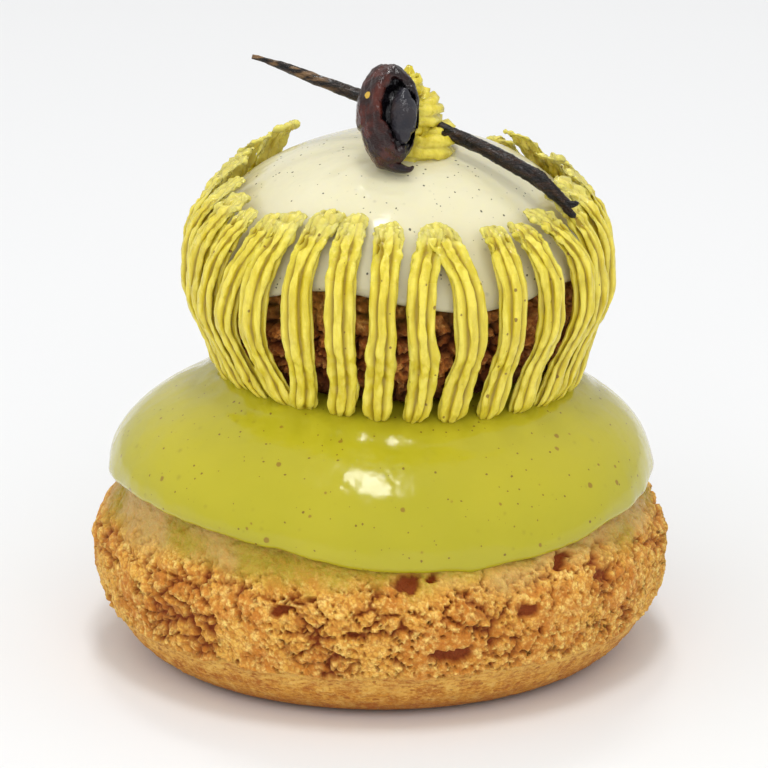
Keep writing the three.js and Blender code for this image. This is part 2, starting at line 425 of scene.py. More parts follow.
# crumbs stand a little proud of the frame's plain solids; the crust starts at skin_z, the
# icing's lip hangs at rim_z, and the close rows end at rows_to, which the icing hides
LARGE = {"foot_z": large_foot, "foot": 25.5, "belly_z": large_foot + 14.0,
         "belly": solid_radius("lower_bun") + 0.3, "cap_z": large_foot + 22.5,
         "cap": 31.1, "dome": 12.2, "skin_z": large_foot + 6.6,
         "rim_z": large_foot + 21.4, "rows_to": large_foot + 24.4}
SMALL = {"foot_z": small_foot, "foot": 15.5, "belly_z": small_foot + 9.5,
         "belly": solid_radius("upper_bun") + 0.22, "cap_z": small_foot + 14.5,
         "cap": 21.2, "dome": 10.6, "skin_z": small_foot + 1.0,
         "rim_z": small_foot + 13.8, "rows_to": small_foot + 16.9}
TIER = tuple(solid_middle("upper_bun")[:2])           # the small bun's upright axis


def ease(t):
    return t * t * (3 - 2 * t)


def bun_radius(bun, z):
    if z < bun["belly_z"]:
        down = (bun["belly_z"] - z) / (bun["belly_z"] - bun["foot_z"])
        return bun["foot"] + (bun["belly"] - bun["foot"]) * math.sqrt(max(0, 1 - down * down))
    t = (z - bun["belly_z"]) / (bun["cap_z"] - bun["belly_z"])
    return bun["belly"] + (bun["cap"] - bun["belly"]) * ease(min(1, t))


def bun_outline(bun, step):
    """Even steps along the side of a bun, then a sparse dome."""
    points = [(0.0, bun["foot_z"]), (bun["foot"] * 0.6, bun["foot_z"]),
              (bun["foot"] * 0.9, bun["foot_z"])]
    z = bun["foot_z"]
    points.append((bun["foot"], z))
    while z < bun["rows_to"]:
        # walk a short way up the side, so that rows stay evenly spaced on the steep curve
        small = 0.004
        slope = (bun_radius(bun, z + small) - bun_radius(bun, z)) / small
        z += step / math.sqrt(1 + slope * slope)
        points.append((bun_radius(bun, z), z))
    r_top, z_top = points[-1]
    crown = bun["cap_z"] + bun["dome"] - z_top
    for k in range(1, 4):
        a = math.pi / 2 * k / 3
        points.append((r_top * math.cos(a), z_top + crown * math.sin(a)))
    return points


def finer(piece, levels):
    """Divides every face in four, levels times, without moving the surface."""
    pick(piece)
    modifier = piece.modifiers.new("finer", "SUBSURF")
    modifier.subdivision_type = "SIMPLE"
    modifier.levels = modifier.render_levels = levels
    return apply_all(piece)


print("rows up the large bun:", len(bun_outline(LARGE, 1.24)))

# %% Spin both buns
lower_bun = finer(spun("lower_bun_crust", bun_outline(LARGE, 1.24), 176, (0, 0)), 2)
upper_bun = finer(spun("upper_bun_crust", bun_outline(SMALL, 1.2), 112, TIER), 2)
print("triangles:", count(lower_bun), count(upper_bun))

# %% [markdown]
# ## The craquelin crust
#
# A disc of sugar dough baked on top of each bun cracks as the choux swells under it. What
# is left is a crumbly crust: broad lumps, flakes that overlap like shallow steps, ragged
# crevices that run mostly sideways, a few open pits, and crumbs a millimetre across or
# less. It stops a little above the table, where the smooth, finely wrinkled skin of the
# choux shows. Sculpting would give this, but not the same way twice; a Geometry Nodes
# modifier does it by formula, and leaves masks behind that the material reads later.

# %% Crust relief
def crust_tree(name, bun, depth, cracked, soaked, pits=()):
    """depth is that of the cracks in mm; cracked and soaked say how much of either."""
    tree, w, given = shape_tree(name)
    skin_z, rim_z = bun["skin_z"], bun["rim_z"]
    p, normal = w.surface()
    x, y, z = w.split(p)[:3]

    # every pattern is looked up at a place pushed about by a coarse noise, so edges are ragged
    ragged = w.vector("ADD", p, w.push(p, 0.32, 3.0, 3.4))
    ragged = w.vector("ADD", ragged, w.push(p, 1.3, 2.0, 0.9))
    flat = w.squash(ragged, (1.0, 1.0, 1.75))       # things run sideways

    # where the crust is: above the skin, with a wandering edge
    wander = w.add(w.times(w.swing(p, 0.16, 3.0, 0.6), 2.4),
                   w.times(w.swing(p, 0.75, 2.0, 0.6), 1.5))
    edge_z = w.add(z, wander)
    crust = w.ramp(edge_z, skin_z - 0.25, skin_z + 0.55)
    under_icing = w.ramp(z, rim_z + 0.6, rim_z + 2.2, 1.0, 0.0)
    # the softened film that runs down from the icing
    film = w.ramp(w.add(z, w.times(w.swing(p, 0.22, 3.0, 0.6), 7.0)),
                  rim_z - 5.6, rim_z - 1.8, 0.0, soaked)

    lumps = w.add(w.times(w.swing(flat, 0.2, 2.0, 0.5), 1.3),
                  w.times(w.swing(flat, 0.52, 2.0, 0.5), 0.4))
    stairs = w.math("FRACT", w.times(w.noise(flat, 0.26, 2.0, 0.5), 6.0))
    flakes = w.times(w.math("POWER", stairs, 0.6), 0.32)
    patch = w.noise(p, 0.13, 2.0, 0.5)
    wide = w.ramp(patch, cracked, cracked + 0.26, 0.008, 0.17, "LINEAR")
    big_edge = w.cells(flat, 0.24, "DISTANCE_TO_EDGE")
    crevice = w.rest(w.math("DIVIDE", big_edge, wide), clamp=True)
    small_edge = w.cells(flat, 0.62, "DISTANCE_TO_EDGE")
    nick = w.rest(w.math("DIVIDE", small_edge, w.times(wide, 1.15)), clamp=True)
    hole = 0.0
    for at_x, at_z, half_x, half_z in pits:
        far = w.vector("SUBTRACT", ragged, (at_x, 0.0, at_z))
        size = w.length(w.vector("DIVIDE", far, (half_x, 1000.0, half_z)))
        near = w.times(w.ramp(size, 0.6, 1.15, 1.0, 0.0), w.math("LESS_THAN", y, 0.0))
        hole = w.math("MAXIMUM", hole, near)
    crumb_far = w.cells(ragged, 0.85, "SMOOTH_F1")
    crumb = w.math("POWER", w.rest(crumb_far, clamp=True), 1.5)
    grit = w.rest(w.cells(ragged, 1.9, "F1"), clamp=True)

    cracks = w.math("MAXIMUM", crevice, w.times(nick, 0.42))
    cracks = w.times(cracks, w.rest(w.times(film, 0.72)))
    open_share = w.math("MAXIMUM", cracks, hole)
    film = w.times(film, w.rest(hole))
    relief = w.sum(lumps, flakes, w.times(crumb, 0.18), w.times(grit, 0.08), -0.2)
    relief = w.times(relief, w.rest(w.times(film, 0.6)))
    relief = w.take(relief, w.times(open_share, depth))
    lip = w.times(w.ramp(edge_z, skin_z - 0.7, skin_z - 0.1),
                  w.ramp(edge_z, skin_z + 0.2, skin_z + 1.2, 1.0, 0.0))
    crust_height = w.times(w.times(w.add(relief, 0.35), crust), under_icing)
    crust_height = w.add(crust_height, w.times(lip, 0.3))

    # the skin: shallow sideways wrinkles, fading out on the sole
    folds = w.noise(w.squash(ragged, (1.0, 1.0, 2.6)), 0.55, 4.0, 0.62)
    skin_share = w.times(w.rest(crust), w.ramp(z, bun["foot_z"] + 0.2, bun["foot_z"] + 1.6))
    skin_height = w.times(w.times(w.take(folds, 0.5), 0.7), skin_share)

    height = w.times(w.add(crust_height, skin_height), MM)
    out = keep_value(w, given[0], "crust", w.times(crust, under_icing))
    out = keep_value(w, out, "open", w.times(open_share, crust))
    out = keep_value(w, out, "film", w.times(film, crust))
    out = keep_value(w, out, "high", w.add(w.times(crumb, 0.6), w.times(stairs, 0.4)))
    shape_end(w, move(w, out, w.scaled(normal, height)))
    return tree


# open pits at the front of the large bun: x, z, half width and half height, in mm
PITS = ((2.9, 18.3, 1.5, 1.2), (8.2, 9.7, 2.9, 0.9), (6.2, 18.6, 0.9, 0.7),
        (-11.5, 14.6, 1.8, 0.6), (-20.0, 11.0, 1.2, 0.9), (17.5, 14.0, 1.6, 0.7),
        (-3.0, 12.5, 1.4, 0.5), (21.5, 18.5, 1.2, 0.6))
use_tree(lower_bun, crust_tree("large_bun_crust", LARGE, 1.15, 0.45, 1.0, PITS))
use_tree(upper_bun, crust_tree("small_bun_crust", SMALL, 1.9, 0.3, 0.25))
lows = [v.co.z for v in lower_bun.data.vertices]
print("large bun stands at", round(min(lows) / MM, 2), "mm")

# %% [markdown]
# ## Poured fondant
#
# Fondant is poured warm and runs until it sets, so the coat is even on the dome and ends
# in a rolled lip that rises and dips round the bun. The coat is spun like the buns, outer
# dome, lip and lining in one closed line, and then its lip is let down by a few waves
# round the axis. The crown stays put, because the waves fade out on the way up.

# %% Spin the two coats
(*_, pistachio_low), (*_, pistachio_high) = solid_box("pistachio_fondant")
(*_, vanilla_low), (*_, vanilla_high) = solid_box("vanilla_fondant")
PISTACHIO = {"radius": solid_radius("pistachio_fondant") + 0.13, "lip": 0.9,
             "rim_z": pistachio_low + 2.1, "height": pistachio_high - pistachio_low - 2.4,
             "waves": ((1, 0.6, -124), (2, 1.0, -69), (3, 0.65, -45))}
VANILLA = {"radius": solid_radius("vanilla_fondant"), "lip": 0.7,
           "rim_z": vanilla_low + 1.5, "height": vanilla_high - vanilla_low - 2.4,
           "waves": ((2, 0.4, -7), (3, 0.5, -15), (4, 0.5, -19), (5, 0.6, -20))}


def coat_outline(coat, rows=26):
    """From the lining's crown out and down to the lip, round it, and up to the crown."""
    points = []
    wall = 1.5 * coat["lip"]
    for k in range(0, 10):
        a = math.pi / 2 * (1 - k / 10)
        points.append(((coat["radius"] - wall) * math.cos(a),
                       coat["rim_z"] + (coat["height"] - wall) * math.sin(a)))
    middle, half = coat["radius"] - wall / 2, wall / 2
    sag = coat["lip"] * 0.9
    for k in range(0, 9):
        a = math.pi + math.pi * k / 9
        points.append((middle + half * math.cos(a), coat["rim_z"] + sag * math.sin(a)))
    for k in range(0, rows + 1):
        a = math.pi / 2 * k / rows
        points.append((coat["radius"] * math.cos(a),
                       coat["rim_z"] + coat["height"] * math.sin(a)))
    points[-1] = (0.0, coat["rim_z"] + coat["height"])
    points[0] = (0.0, coat["rim_z"] + coat["height"] - wall)
    return points


def coat_tree(name, coat, axis, collar=0.0):
    tree, w, given = shape_tree(name)
    p, normal = w.surface()
    x, y, z = w.split(p)[:3]
    turned = w.math("ARCTAN2", w.take(x, axis[0]), w.times(w.take(y, axis[1]), -1.0))
    drop = 0.0
    for times_round, rise, crest in coat["waves"]:
        angle = w.times(w.take(turned, math.radians(crest)), float(times_round))
        drop = w.add(drop, w.times(w.math("COSINE", angle), rise))
    ripple = w.times(w.swing(p, 0.13, 2.0, 0.5), 1.1)
    low = w.ramp(z, coat["rim_z"], coat["rim_z"] + coat["height"], 1.0, 0.0, "LINEAR")
    near_lip = w.ramp(z, coat["rim_z"], coat["rim_z"] + 2.5, 1.0, 0.0)
    fall = w.add(w.times(drop, low), w.times(ripple, near_lip))
    # wet icing climbs a little where the strips stand in it
    from_tier = w.vector("SUBTRACT", w.join(x, y, 0.0), (*TIER, 0.0))
    reach = w.length(from_tier)
    uneven = w.noise(p, 0.3, 2.0, 0.5)
    climb = w.ramp(w.add(reach, w.times(w.take(uneven, 0.5), 2.4)), 22.9, 24.9, collar, 0.0)
    fall = w.add(fall, w.times(climb, w.add(uneven, 0.5)))
    swell = w.times(w.swing(p, 0.06, 2.0, 0.5), 0.7)
    fat = w.times(w.times(w.take(w.noise(p, 0.17, 1.0, 0.5), 0.42), 0.8), near_lip)
    step = w.vector("ADD", w.scaled(w.join(0.0, 0.0, 1.0), w.times(fall, MM)),
                    w.scaled(normal, w.times(w.add(swell, fat), MM)))
    shape_end(w, move(w, given[0], step))
    return tree


lower_icing = finer(spun("pistachio_fondant_coat", coat_outline(PISTACHIO), 150), 1)
use_tree(lower_icing, coat_tree("pistachio_runs", PISTACHIO, (0, 0), 0.6))
upper_icing = finer(spun("vanilla_fondant_coat", coat_outline(VANILLA), 120, TIER), 1)
use_tree(upper_icing, coat_tree("vanilla_runs", VANILLA, TIER))
print("triangles:", count(lower_icing), count(upper_icing))

# %% [markdown]
# ## Buttercream strips
#
# Each strip is squeezed from a star nozzle, from the icing below up over the small bun, so
# it has broad rounded ridges with narrow grooves between them. One strip is modelled: a
# ring of corners, every fourth one drawn in to make a groove, is pushed out along the
# bun's side, and Subdivision Surface rounds it, with the grooves lightly creased so that
# they stay narrow. A curve with a bevel would be quicker, but a ring can be squeezed and
# thinned at each step.

# %% One strip, straight out of the nozzle
strip_low, strip_high = solid_box("piped_strip_01")
STRIP = {"count": 29, "first": -4.5, "width": 3.75, "depth": 2.7, "foot_r": 20.3,
         "foot_z": strip_low[2] + 0.1, "belly_r": 23.85, "belly_z": small_foot + 10.5,
         "shoulder_z": SMALL["cap_z"], "dome": 15.35, "top_z": strip_high[2] - 0.2,
         "stands_r": 21.6, "sunk": 0.15}


def strip_back(z):
    """Radius of the strip's back at height z."""
    if z < STRIP["belly_z"]:
        t = (z - STRIP["foot_z"]) / (STRIP["belly_z"] - STRIP["foot_z"])
        return STRIP["foot_r"] + (STRIP["belly_r"] - STRIP["foot_r"]) * ease(min(1, max(0, t)))
    if z < STRIP["shoulder_z"]:
        return STRIP["belly_r"]
    over = (z - STRIP["shoulder_z"]) / STRIP["dome"]
    return STRIP["belly_r"] * math.sqrt(max(0, 1 - over ** 2))


def strip_line(steps=26):
    """Even steps along the strip's back: (radius, z, slope angle from upright)."""
    fine = [(strip_back(z), z) for z in
            [STRIP["foot_z"] + (STRIP["top_z"] - STRIP["foot_z"]) * k / 400 for k in range(401)]]
    run = [0.0]
    for a, b in zip(fine, fine[1:]):
        run.append(run[-1] + math.dist(a, b))
    line = []
    for k in range(steps + 1):
        want = run[-1] * k / steps
        i = min(range(len(run)), key=lambda j: abs(run[j] - want))
        a, b = fine[max(0, i - 2)], fine[min(400, i + 2)]
        line.append((*fine[i], math.atan2(b[0] - a[0], b[1] - a[1])))
    return line, run[-1]


# share of the length, width, depth: a blunt foot, an even body, a top pulled out thin
SQUEEZE = ((0.0, 0.3, 0.3), (0.03, 0.74, 0.78), (0.08, 1.0, 1.02), (0.3, 0.98, 0.98),
           (0.6, 1.0, 1.0), (0.8, 1.0, 0.96), (0.89, 1.02, 0.86), (0.94, 1.03, 0.66),
           (0.975, 0.92, 0.38), (1.0, 0.45, 0.1))


def squeeze(s):
    for (s0, w0, d0), (s1, w1, d1) in zip(SQUEEZE, SQUEEZE[1:]):
        if s <= s1:
            t = (s - s0) / (s1 - s0)
            return w0 + (w1 - w0) * t, d0 + (d1 - d0) * t
    return SQUEEZE[-1][1:]


def nozzle_ring(name, half_width, half_depth, centre, lobes=6, groove=0.55):
    """A flat ring with every fourth corner drawn in; "ridge" says which are not."""
    pick_none()
    bpy.ops.mesh.primitive_circle_add(vertices=4 * lobes, radius=1.0, fill_type="NGON",
                                      location=(0, 0, 0))
    ring = bpy.context.object
    ring.name = ring.data.name = name
    crest = ring.data.attributes.new("ridge", "FLOAT", "POINT")
    for v in ring.data.vertices:
        # every fourth corner is a groove; straight out, towards -Y, is the middle of a ridge
        turn = math.atan2(v.co.x, -v.co.y) / TURN * 4 * lobes
        crest.data[v.index].value = 0.0 if round(turn) % 4 == 2 else 1.0
    grooves = {v.index for v in ring.data.vertices if crest.data[v.index].value < 0.5}
    begin_edit()
    choose(ring, lambda v: v.index in grooves)
    bpy.ops.transform.resize(value=(groove, groove, 1), center_override=(0, 0, 0))
    bpy.ops.mesh.select_all(action="SELECT")
    bpy.ops.transform.resize(value=(half_width * MM, half_depth * MM, 1),
                             center_override=(0, 0, 0))
    bpy.ops.transform.translate(value=[c * MM for c in centre])
    return ring


def strip_stations():
    line, length = strip_line()
    out = []
    for k, (r, z, slope) in enumerate(line):
        wide, deep = squeeze(k / (len(line) - 1))
        # the middle of the strip stands half its depth off its back
        lift = STRIP["depth"] / 2 * deep
        out.append((r + lift * math.cos(slope), z - lift * math.sin(slope), slope, wide, deep))
    return out, length


def pipe_strip():
    stations, length = strip_stations()
    r, z, slope, wide, deep = stations[0]
    half_w, half_d = STRIP["width"] / 2, STRIP["depth"] / 2
    ring = nozzle_ring("piped_strip_model", half_w * wide, half_d * deep,
                       (TIER[0], TIER[1] - r, z))
    bpy.ops.transform.rotate(value=-slope, orient_axis="X", constraint_axis=(True, False, False),
                             center_override=(TIER[0] * MM, (TIER[1] - r) * MM, z * MM))
    for r1, z1, slope1, wide1, deep1 in stations[1:]:
        here = (TIER[0] * MM, (TIER[1] - r1) * MM, z1 * MM)
        bpy.ops.mesh.extrude_region_move(
            TRANSFORM_OT_translate={"value": (0, -(r1 - r) * MM, (z1 - z) * MM)})
        bpy.ops.transform.rotate(value=-(slope1 - slope), orient_axis="X",
                                 constraint_axis=(True, False, False), center_override=here)
        deeper = deep1 / deep
        bpy.ops.transform.resize(value=(deeper,) * 3, center_override=here)
        bpy.ops.transform.resize(value=(wide1 / wide / deeper, 1, 1), center_override=here)
        r, z, slope, wide, deep = r1, z1, slope1, wide1, deep1
    bpy.ops.mesh.select_all(action="SELECT")
    bpy.ops.mesh.normals_make_consistent(inside=False)
    end_edit()
    return ring, length


strip, strip_length = pipe_strip()
grooves = strip.data.attributes["ridge"].data
creases = strip.data.attributes.new("crease_edge", "FLOAT", "EDGE")
for edge in strip.data.edges:
    a, b = edge.vertices
    if grooves[a].value < 0.5 and grooves[b].value < 0.5:
        creases.data[edge.index].value = 0.3
pick(strip)
rounder = strip.modifiers.new("rounder", "SUBSURF")
rounder.levels = rounder.render_levels = 2
apply_all(strip)
bpy.ops.object.shade_smooth()
print("strip length in mm:", round(strip_length, 1), "triangles:", count(strip))

# %% [markdown]
# ## A hand that isn't a machine
#
# No two piped strips match. Each copy of the strip wanders a little from side to side,
# swells and thins with the squeeze of the bag, and tears slightly along its ridges. Near
# the top it is dragged sideways as the nozzle is pulled away. Each copy has its own mesh,
# and one Geometry Nodes tree bends it with its own lean, drag and seed before it is
# turned to its place round the small bun.

# %% Lean, drag and place every strip
def strip_tree():
    turns = [f"Turn {k}" for k in range(4)]
    tree, w, given = shape_tree("piping_hand", (*turns, "Seed", "Foot", "Fat", "Tall", "Curl"))
    p, normal = w.surface()
    x, y, z = w.split(p)[:3]
    across = w.take(x, TIER[0])
    up = w.ramp(z, STRIP["foot_z"], STRIP["top_z"], 0.0, 1.0, "LINEAR")
    seed = w.times(given["Seed"], 17.3)
    walk = w.join(seed, w.times(z, 0.1), 0.0)
    sway = w.times(w.swing(walk, 1.0, 2.0, 0.5), 1.0)
    breath = w.noise(w.join(w.add(seed, 7.1), w.times(z, 0.2), 0.0), 1.0, 0.0, 0.5)
    stretch = w.times(given["Fat"], w.add(0.86, w.times(breath, 0.28)))
    # tearing and lumps, by a noise that differs from strip to strip
    here = w.vector("ADD", p, w.join(seed, 0.0, 0.0))
    lump = w.swing(w.squash(here, (1.0, 1.0, 0.5)), 0.7, 1.0, 0.5)
    tear = w.swing(here, 2.6, 2.0, 0.6)
    ridge = w.put("GeometryNodeInputNamedAttribute", {"Name": "ridge"},
                  data_type="FLOAT").outputs[0]
    uneven = w.swing(w.squash(here, (1.0, 1.0, 0.16)), 1.1, 1.0, 0.5)
    end = w.ramp(up, 0.8, 0.97)
    mess = w.times(w.times(w.take(w.noise(here, 0.62, 2.0, 0.5), 0.48), 2.2), end)
    flank = w.ramp(w.math("ABSOLUTE", across), 1.1, 1.7)
    ragged = w.times(w.swing(w.squash(here, (1.0, 1.0, 0.6)), 1.0, 1.0, 0.5),
                     w.times(flank, 0.22))
    torn = w.times(w.times(tear, 0.04), w.add(ridge, 0.2))
    rough = w.sum(w.times(lump, 0.18), w.times(uneven, 0.7), torn, mess, ragged)
    rough = w.times(rough, MM)
    # into place round the tier's axis
    side = w.add(w.times(across, stretch), sway)
    radius = w.times(w.take(y, TIER[1]), -1.0)
    foot = w.times(given["Foot"], w.ramp(up, 0.0, 0.25, 1.0, 0.0))
    grow = w.times(given["Tall"], w.ramp(up, 0.5, 1.0))
    height = w.sum(z, foot, grow)

    def dome(level):
        above = w.math("MAXIMUM", w.take(level, STRIP["shoulder_z"]), 0.0)
        share = w.times(above, 1 / STRIP["dome"])
        return w.times(w.math("SQRT", w.rest(w.times(share, share))), STRIP["belly_r"])
    radius = w.take(radius, w.take(dome(z), dome(height)))
    # one smooth curve through the four turns, at these shares of the height
    knots, angle = (0.0, 0.4, 0.75, 1.0), 0.0
    for k, knot in enumerate(knots):
        share = given[f"Turn {k}"]
        for other in knots:
            if other != knot:
                share = w.times(share, w.times(w.take(up, other), 1 / (knot - other)))
        angle = w.add(angle, share)
    reach = w.diagonal(radius, side)
    round_ = w.add(angle, w.math("ARCTAN2", side, radius))
    new = w.join(w.add(w.times(reach, w.math("SINE", round_)), TIER[0]),
                 w.take(TIER[1], w.times(reach, w.math("COSINE", round_))),
                 w.add(height, w.times(given["Curl"], w.ramp(up, 0.86, 1.0))))
    moved = w.put("GeometryNodeSetPosition", {"Geometry": given["Geometry"],
                                              "Position": w.scaled(new, MM)}).outputs[0]
    moved = keep_value(w, moved, "up", up)
    shape_end(w, move(w, moved, w.scaled(normal, rough)))
    return tree


def icing_height(x, y):
    """Height of the lower icing's dome at a place, in mm."""
    share = (x * x + y * y) / PISTACHIO["radius"] ** 2
    return PISTACHIO["rim_z"] + PISTACHIO["height"] * math.sqrt(max(0, 1 - share))


# where each strip stands round the small bun, in degrees: at its foot, two fifths and
# three quarters of the way up, and at its top; then how much taller it is than usual, in mm
LEANS = {
    0: (-6.5, -5, -4, -2.5, 0.3), 1: (4.5, 6.6, 6.4, 11.5, 0.2), 2: (16.5, 19.6, 17.8, 12.0, 0),
    3: (29, 32.2, 31.5, 29.5, -0.6), 4: (42, 45.5, 44.5, 39, -0.8),
    5: (52.5, 61, 58.5, 48, 0.2), 6: (60.5, 71, 68, 64, 1.0), 7: (74, 82, 80, 76, 1.6),
    11: (134, 132, 130, 131, 2.2), 18: (-137, -136, -134, -133, 2.4),
    19: (-125, -122, -121, -118, 2.2), 20: (-109, -111, -107, -104, 2.2),
    21: (-97, -99, -93, -88, 2.2), 22: (-82, -87, -81, -76, 1.6), 23: (-69, -77, -70, -65, 0.6),
    24: (-58, -66, -59.5, -54, -0.2), 25: (-47.5, -55.5, -48.5, -43, 0),
    26: (-38, -44, -40.5, -35, 0.6), 27: (-33, -28.8, -27.8, -23, 1.2),
    28: (-19.5, -15.8, -16, -14, 1.0),
}
# how far the tip of a strip stands up where the nozzle was snatched away, in mm
CURLS = {11: 1.2, 12: 0.9, 18: 1.9, 19: 1.5, 20: 1.0, 21: 1.2, 9: 1.0, 8: 0.8}
hand = strip_tree()
dice = random.Random(7)
strips = []
for i in range(STRIP["count"]):
    azimuth = math.radians(STRIP["first"]) + TURN * i / STRIP["count"]
    usual = math.degrees(azimuth) - (360 if i > STRIP["count"] / 2 else 0)
    # thrown for every strip, so that a listed lean leaves the next throws as they were
    thrown = [usual + dice.uniform(-3, 3) for _ in range(4)] + [dice.uniform(0.2, 1.4)]
    *turns, tall = LEANS.get(i, thrown)
    azimuth = math.radians(turns[0])
    foot_x = TIER[0] + STRIP["stands_r"] * math.sin(azimuth)
    foot_y = TIER[1] - STRIP["stands_r"] * math.cos(azimuth)
    foot_z = icing_height(foot_x, foot_y) - STRIP["sunk"]
    pick(strip)
    bpy.ops.object.duplicate(linked=False)
    copy = bpy.context.object
    copy.name = copy.data.name = f"buttercream_strip_{i + 1:02d}"
    use_tree(copy, hand, **{f"Turn {k}": math.radians(turn) for k, turn in enumerate(turns)},
             Seed=float(i + 1), Foot=foot_z - STRIP["foot_z"],
             Fat=dice.uniform(0.96, 1.08) * (1.16 if 7 <= i <= 23 else 1.0), Tall=float(tall),
             Curl=CURLS.get(i, 0.3))
    # turned outwards last, since the tree has just pushed the corners along their normals
    if volume(copy) < 0:
        begin_edit()
        bpy.ops.mesh.select_all(action="SELECT")
        bpy.ops.mesh.flip_normals()
        end_edit()
    strips.append(copy)
bpy.data.objects.remove(strip)
print(len(strips), "strips; cubic mm in all:", round(sum(volume(p) for p in strips)))

# %% [markdown]
# ## The rosette
#
# A dab of the same buttercream holds the fruit. It is piped as a short swirl, so it is
# modelled as one: a curve winds up and inwards, and a star-shaped outline is swept along
# it and turned a little as it goes, which gives the ruffles.

# %% Pipe the rosette
def star_outline(name, lobes, groove):
    """A closed star outline for curves to be swept with, one unit across its crests."""
    pick_none()
    bpy.ops.mesh.primitive_circle_add(vertices=4 * lobes, radius=1.0)
    star = bpy.context.object
    star.name = name
    inner = {v.index for v in star.data.vertices
             if round(math.atan2(v.co.y, v.co.x) / TURN * 4 * lobes) % 4 == 2}
    begin_edit()
    choose(star, lambda v: v.index in inner)
    bpy.ops.transform.resize(value=(groove, groove, 1), center_override=(0, 0, 0))
    end_edit()
    bpy.ops.object.convert(target="CURVE")
    return bpy.context.object


def swept(name, stations, outline, smooth):
    """Sweeps outline along (x, y, z, half width, turn) stations in mm, and makes it mesh."""
    pick_none()
    bpy.ops.curve.primitive_nurbs_path_add(radius=MM, location=(0, 0, 0))
    piece = bpy.context.object
    piece.name = piece.data.name = name
    line = piece.data
    line.splines.clear()
    spline = line.splines.new("NURBS")
    spline.points.add(len(stations) - 1)
    for point, (x, y, z, half, turn) in zip(spline.points, stations):
        point.co = (x * MM, y * MM, z * MM, 1)
        point.radius = half * MM
        point.tilt = turn
    spline.order_u = 4
    spline.use_endpoint_u = True
    spline.resolution_u = smooth
    line.bevel_mode = "OBJECT"
    line.bevel_object = outline
    line.use_fill_caps = True
    pick(piece)
    bpy.ops.object.convert(target="MESH")
    piece = bpy.context.object
    begin_edit()
    bpy.ops.mesh.select_all(action="SELECT")
    bpy.ops.mesh.remove_doubles(threshold=0.004 * MM)
    bpy.ops.mesh.normals_make_consistent(inside=False)
    end_edit()
    bpy.ops.object.shade_smooth()
    return piece


rose_low, rose_high = solid_box("pistachio_rosette")


def from_middle(stations, middle):
    """Moves stations that are measured from a solid's middle to their place."""
    return [(*(a + b for a, b in zip(station, middle)), *station[3:]) for station in stations]


ROSE_X, ROSE_Y = rose_high[0] - 4.84, rose_high[1] - 6.39
star = star_outline("star_outline", 6, 0.62)
swirl = []
for k in range(41):
    t = k / 40
    a = -2.1 + t * TURN * 2.6
    r = 3.7 * (1 - t) ** 0.55 + 0.1
    swirl.append((ROSE_X + r * math.sin(a) - 0.9 * t, ROSE_Y - r * math.cos(a),
                  rose_low[2] - 1.67 + 9.4 * t, 2.25 * (1 - 0.45 * t ** 1.6), 0.42 * k))
swirl.append((swirl[-1][0] + 0.1, swirl[-1][1], rose_high[2] + 0.8, 0.25, swirl[-1][4]))
rosette = swept("buttercream_rosette", swirl, star, 5)


def ruffle_tree(name, coarse, fine, grain=0.9, stretch=(1, 1, 1)):
    """Uneven lumps, in mm, along the normal."""
    tree, w, given = shape_tree(name)
    p, normal = w.surface()
    p = w.squash(p, stretch)
    big = w.times(w.swing(p, grain, 3.0, 0.6), coarse)
    small = w.times(w.swing(p, grain * 3.1, 2.0, 0.6), fine)
    out = keep_value(w, given[0], "ridge", w.ramp(w.noise(p, grain * 1.4, 2.0, 0.5), 0.22, 0.5))
    out = keep_value(w, out, "up", 0.86)
    shape_end(w, move(w, out, w.scaled(normal, w.times(w.add(big, small), MM))))
    return tree


use_tree(rosette, ruffle_tree("ruffles", 1.5, 0.35, 0.7))
print("rosette triangles:", count(rosette))

# %% [markdown]
# ## The candied fruit
#
# Half a stone fruit, kept in syrup until it is nearly black, with its hollow turned to the
# front and a dark kernel lying in it. A sphere is stretched to the fruit's size and leant.
# The hollow could be inset and pushed in by hand, but its rim would come out too even, so
# a Geometry Nodes modifier presses it in and wrinkles the skin in the same go.

# %% Shape the fruit
fruit_at = solid_middle("candied_fruit")
FRUIT = {"x": fruit_at[0], "y": fruit_at[1], "z": fruit_at[2] - 0.1, "lean": 30,
         "half": (3.75, 3.1, 6.5)}
pick_none()
bpy.ops.mesh.primitive_uv_sphere_add(segments=160, ring_count=110, radius=MM, location=(0, 0, 0))
fruit = bpy.context.object
fruit.name = fruit.data.name = "candied_fruit_half"
begin_edit()
bpy.ops.mesh.select_all(action="SELECT")
bpy.ops.transform.resize(value=FRUIT["half"], center_override=(0, 0, 0))
choose(fruit, lambda v: v.co.z < -1.5 * MM)
bpy.ops.transform.resize(value=(0.92, 1, 1), center_override=(0, 0, 0))
bpy.ops.mesh.select_all(action="SELECT")
lean = -math.radians(FRUIT["lean"])
bpy.ops.transform.rotate(value=lean, orient_axis="X", constraint_axis=(True, False, False),
                         center_override=(0, 0, 0))
bpy.ops.transform.translate(value=(FRUIT["x"] * MM, FRUIT["y"] * MM, FRUIT["z"] * MM))
end_edit()


